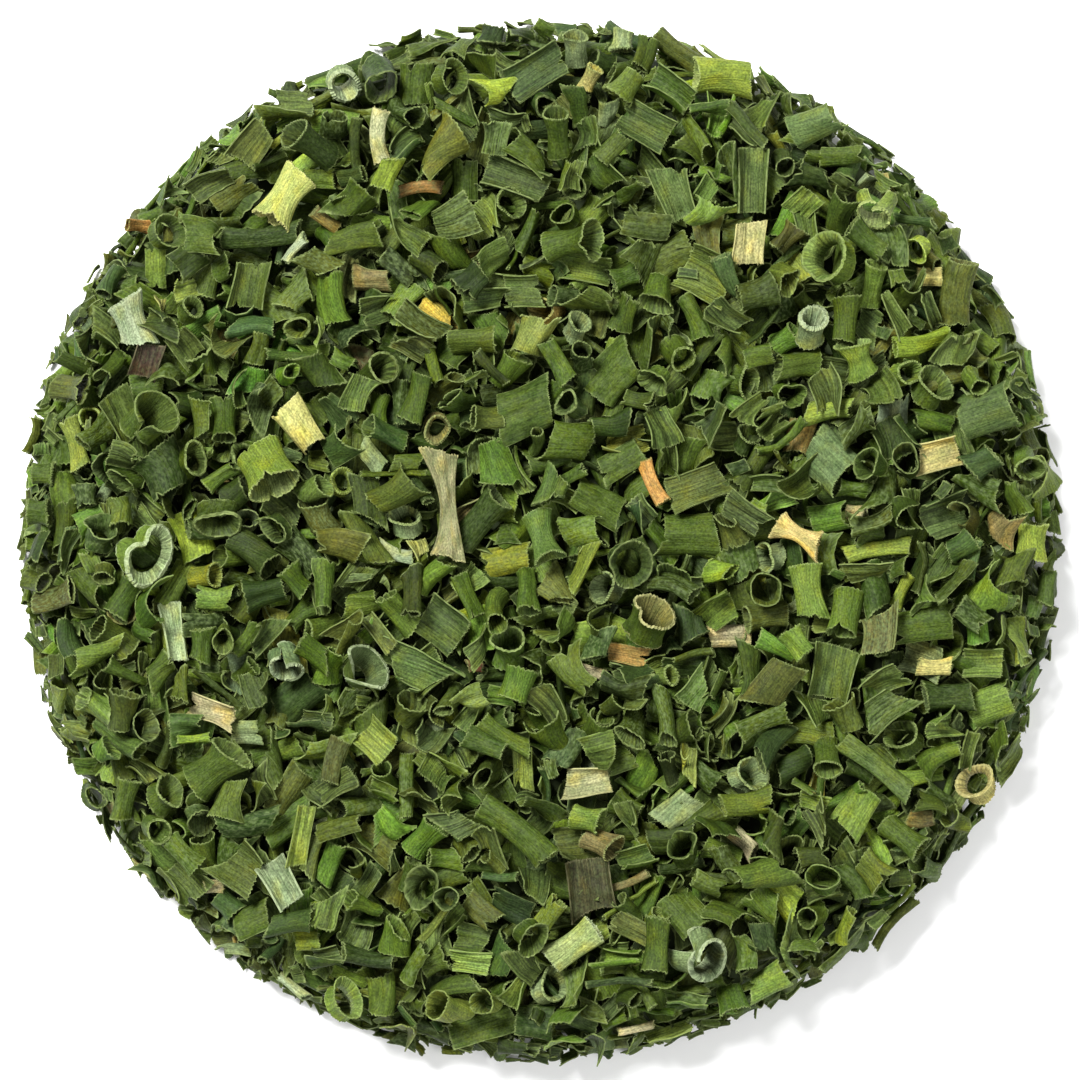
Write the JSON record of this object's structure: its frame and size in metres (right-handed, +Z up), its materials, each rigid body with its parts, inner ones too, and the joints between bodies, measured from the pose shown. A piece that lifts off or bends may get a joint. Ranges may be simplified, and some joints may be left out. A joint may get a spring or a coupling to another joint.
{
  "type": "heap of dried cut chives",
  "caption": "Low round heap of dried cut chive leaves: short hollow rings, waisted tubes, split curls and flat flakes lying on a packed bed.",
  "frame": {"origin": "middle of the heap's flat foot, on the surface it rests on", "axes": "+Z up, out of the top of the heap; +Y towards the far side of the view from above, +X to its right"},
  "size_m": [0.1, 0.1, 0.0165],
  "materials": {
    "green_leaf": "matte dried leaf, mid green, fine lengthwise fibres",
    "dark_leaf": "matte dried leaf, dark bluish green",
    "bright_leaf": "matte dried leaf, fresh green",
    "yellow_leaf": "matte dried leaf, yellow green",
    "olive_leaf": "matte dried leaf, olive",
    "pale_leaf": "papery dried leaf, pale green to white",
    "straw_leaf": "papery dried leaf, straw to orange",
    "brown_leaf": "dry scrap, tan to brown"
  },
  "bodies": {
    "root": {"packed_chives": "green_leaf", "ring_dark_west": "green_leaf", "ring_thick_north_west": "pale_leaf", "ring_ribbed_north": "green_leaf", "ring_thick_east": "pale_leaf", "ring_oval_east": "pale_leaf", "ring_heart_west": "pale_leaf", "ring_ribbed_centre": "dark_leaf", "ring_leaning_centre": "pale_leaf", "ring_light_south": "bright_leaf", "ring_straw_east": "straw_leaf", "hourglass_torn": "straw_leaf", "hourglass_papery": "pale_leaf", "tube_ribbed_north_west": "dark_leaf", "tube_yellow_north": "yellow_leaf", "tube_upright_north": "green_leaf", "tube_funnel_north": "green_leaf", "tube_olive_east": "olive_leaf", "hourglass_light_east": "bright_leaf", "tube_light_west": "yellow_leaf", "hourglass_yellow_west": "yellow_leaf", "hourglass_bright_centre": "bright_leaf", "hourglass_light_middle": "bright_leaf", "hourglass_rim_east": "yellow_leaf", "tube_flared_south_west": "green_leaf", "tube_long_south": "green_leaf", "tube_white_south": "pale_leaf", "curl_boat_north": "green_leaf", "curl_double_north_east": "olive_leaf", "curl_yellow_north_east": "yellow_leaf", "curl_ribbed_west": "green_leaf", "curl_sheath_west": "pale_leaf", "curl_open_centre": "pale_leaf", "curl_pale_south_west": "pale_leaf", "curl_large_south": "pale_leaf", "curl_disc_west": "pale_leaf", "flake_large_centre": "dark_leaf", "flake_blue_north": "dark_leaf", "flake_creased_west": "green_leaf", "flake_grey_north": "dark_leaf", "flake_folded_north": "bright_leaf", "flake_yellow_north": "yellow_leaf", "flake_straw_east": "straw_leaf", "flake_bright_east": "bright_leaf", "flake_straw_west": "straw_leaf", "flake_diamond_centre": "dark_leaf", "flake_pale_east": "straw_leaf", "flake_grey_east": "dark_leaf", "flake_ragged_east": "green_leaf", "flake_creased_south": "green_leaf", "flake_cream_west": "straw_leaf", "flake_beige_south": "brown_leaf", "flake_brown_south": "brown_leaf", "flake_lime_south": "bright_leaf", "scrap_purple": "brown_leaf", "strip_cream_north": "straw_leaf", "strip_brown_rim": "brown_leaf", "strip_long_south_east": "olive_leaf", "stalk_papery": "brown_leaf", "bone_orange": "straw_leaf"}
  },
  "joints": []
}
